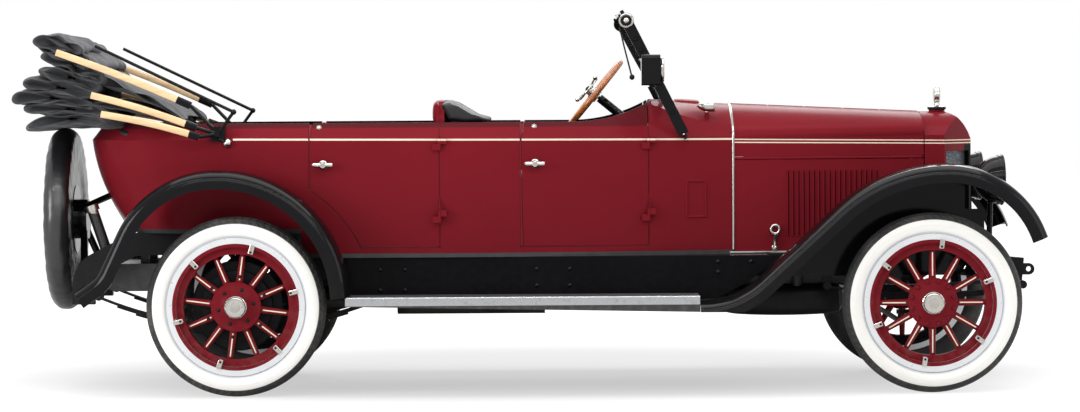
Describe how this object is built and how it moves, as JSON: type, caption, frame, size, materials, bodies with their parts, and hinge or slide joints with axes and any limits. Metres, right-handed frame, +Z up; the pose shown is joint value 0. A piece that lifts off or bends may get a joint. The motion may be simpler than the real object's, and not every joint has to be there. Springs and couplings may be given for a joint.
{
  "type": "touring car",
  "caption": "Open 1920s touring car with folded top, hinged doors, folding hood leaves, steered front wheels on wood spokes, long running boards and a covered spare at the back.",
  "frame": {"origin": "on the road, in the middle of the car's length and width", "axes": "+X forward, +Y to the car's left, +Z up"},
  "size_m": [4.99, 1.736, 1.8561],
  "materials": {
    "body_paint": "deep maroon coach paint, glossy, with a cream belt line",
    "fender_paint": "black enamel, glossy",
    "chassis_paint": "black chassis paint, satin",
    "nickel": "nickel plate, polished",
    "engine_iron": "grey painted castings",
    "exhaust_steel": "dull, heat-stained",
    "radiator_core": "grey-blue honeycomb",
    "wheel_wood": "maroon painted spokes with a cream line, silver steel rim",
    "tyre": "white side walls, black tread",
    "leather": "black leather, sewn in pleats",
    "board_rubber": "black ribbed covering with a bright metal edge",
    "top_cloth": "charcoal canvas with black binding",
    "spare_cover": "black oilcloth, shiny and creased",
    "bow_wood": "tan ash, varnished",
    "rim_wood": "brown varnished rim on bright spokes",
    "dash_wood": "dark varnished board",
    "floor_mat": "black mat over boards",
    "glass": "clear, faintly green at the edge",
    "lens": "fluted lens"
  },
  "bodies": {
    "car": {"chassis_rails": "chassis_paint", "cross_members": "chassis_paint", "tow_eyes": "chassis_paint", "leaf_springs": "chassis_paint", "front_axle": "chassis_paint", "rear_axle": "chassis_paint", "engine": "engine_iron", "exhaust": "exhaust_steel", "fuel_tank": "chassis_paint", "cowl": "body_paint", "rear_tub": "body_paint", "side_panels": "body_paint", "floor": "floor_mat", "dashboard": "dash_wood", "seat_boxes": "leather", "front_seat_shell": "body_paint", "seat_cushions": "leather", "radiator_shell": "body_paint", "hood_rod": "chassis_paint", "radiator_core": "radiator_core", "radiator_cap": "nickel", "headlamps": "fender_paint", "lamp_lenses": "lens", "front_fenders": "fender_paint", "rear_fenders": "fender_paint", "running_boards": "board_rubber", "splash_aprons": "fender_paint", "windshield_frame": "fender_paint", "windshield_glass": "glass", "spot_lamp": "fender_paint", "cowl_lamps": "nickel", "top_cloth": "top_cloth", "top_bows": "bow_wood", "top_irons": "fender_paint", "spare_wheel": "spare_cover", "spare_carrier": "fender_paint", "steering_column": "fender_paint"},
    "steering_wheel": {"steering_wheel": "rim_wood"},
    "tie_rod": {"tie_rod": "chassis_paint"},
    "knuckle_left": {"knuckle_left": "chassis_paint"},
    "front_wheel_left": {"wheel_front_left": "wheel_wood", "tyre_front_left": "tyre"},
    "door_front_left": {"door_front_left": "body_paint"},
    "rear_wheel_left": {"wheel_rear_left": "wheel_wood", "tyre_rear_left": "tyre"},
    "door_rear_left": {"door_rear_left": "body_paint"},
    "hood_top_left": {"hood_top_left": "body_paint"},
    "hood_side_left": {"hood_side_left": "body_paint"},
    "knuckle_right": {"knuckle_right": "chassis_paint"},
    "front_wheel_right": {"wheel_front_right": "wheel_wood", "tyre_front_right": "tyre"},
    "door_front_right": {"door_front_right": "body_paint"},
    "rear_wheel_right": {"wheel_rear_right": "wheel_wood", "tyre_rear_right": "tyre"},
    "door_rear_right": {"door_rear_right": "body_paint"},
    "hood_top_right": {"hood_top_right": "body_paint"},
    "hood_side_right": {"hood_side_right": "body_paint"}
  },
  "joints": [
    {"name": "rear_wheel_left_spin", "type": "hinge", "parent": "car", "child": "rear_wheel_left", "pos_m": [-1.408, 0.711, 0.434], "axis": [0, 1, 0], "continuous": true},
    {"name": "steer_left", "type": "hinge", "parent": "car", "child": "knuckle_left", "pos_m": [1.945, 0.626, 0.434], "axis": [0, 0, 1], "range_deg": [-30, 30]},
    {"name": "front_wheel_left_spin", "type": "hinge", "parent": "knuckle_left", "child": "front_wheel_left", "pos_m": [1.945, 0.711, 0.434], "axis": [0, 1, 0], "continuous": true},
    {"name": "door_front_left_swing", "type": "hinge", "parent": "car", "child": "door_front_left", "pos_m": [0.5875, 0.53454, 1], "axis": [0, 0, -1], "range_deg": [0, 65]},
    {"name": "door_rear_left_swing", "type": "hinge", "parent": "car", "child": "door_rear_left", "pos_m": [-0.4275, 0.65344, 1], "axis": [0, 0, -1], "range_deg": [0, 65]},
    {"name": "hood_top_left_lift", "type": "hinge", "parent": "car", "child": "hood_top_left", "pos_m": [1.4795, 0, 1.369], "axis": [0.9989, 0, -0.0462], "range_deg": [0, 42]},
    {"name": "hood_side_left_fold", "type": "hinge", "parent": "hood_top_left", "child": "hood_side_left", "pos_m": [1.4795, 0.352, 1.128], "axis": [0.9934, -0.1149, 0], "range_deg": [-48.3, 0]},
    {"name": "rear_wheel_right_spin", "type": "hinge", "parent": "car", "child": "rear_wheel_right", "pos_m": [-1.408, -0.711, 0.434], "axis": [0, 1, 0], "continuous": true},
    {"name": "steer_right", "type": "hinge", "parent": "car", "child": "knuckle_right", "pos_m": [1.945, -0.626, 0.434], "axis": [0, 0, 1], "range_deg": [-30, 30]},
    {"name": "front_wheel_right_spin", "type": "hinge", "parent": "knuckle_right", "child": "front_wheel_right", "pos_m": [1.945, -0.711, 0.434], "axis": [0, 1, 0], "continuous": true},
    {"name": "door_front_right_swing", "type": "hinge", "parent": "car", "child": "door_front_right", "pos_m": [0.5875, -0.53454, 1], "axis": [0, 0, 1], "range_deg": [0, 65]},
    {"name": "door_rear_right_swing", "type": "hinge", "parent": "car", "child": "door_rear_right", "pos_m": [-0.4275, -0.65344, 1], "axis": [0, 0, 1], "range_deg": [0, 65]},
    {"name": "hood_top_right_lift", "type": "hinge", "parent": "car", "child": "hood_top_right", "pos_m": [1.4795, 0, 1.369], "axis": [-0.9989, 0, 0.0462], "range_deg": [0, 42]},
    {"name": "hood_side_right_fold", "type": "hinge", "parent": "hood_top_right", "child": "hood_side_right", "pos_m": [1.4795, -0.352, 1.128], "axis": [-0.9934, -0.1149, 0], "range_deg": [-48.3, 0]},
    {"name": "tie_rod_swing", "type": "hinge", "parent": "knuckle_left", "child": "tie_rod", "pos_m": [1.795, 0.626, 0.34], "axis": [0, 0, 1], "range_deg": [-30, 30]},
    {"name": "steering_wheel_turn", "type": "hinge", "parent": "car", "child": "steering_wheel", "pos_m": [0.341, 0.31, 1.445], "axis": [-0.7738, 0, 0.6334], "range_deg": [-360, 360]}
  ],
  "couplings": [
    {"joint": "hood_side_left_fold", "follows": "hood_top_left_lift", "ratio": -1.15},
    {"joint": "hood_side_right_fold", "follows": "hood_top_right_lift", "ratio": -1.15},
    {"joint": "steer_right", "follows": "steer_left", "ratio": 1},
    {"joint": "tie_rod_swing", "follows": "steer_left", "ratio": -1},
    {"joint": "steering_wheel_turn", "follows": "steer_left", "ratio": 12}
  ]
}
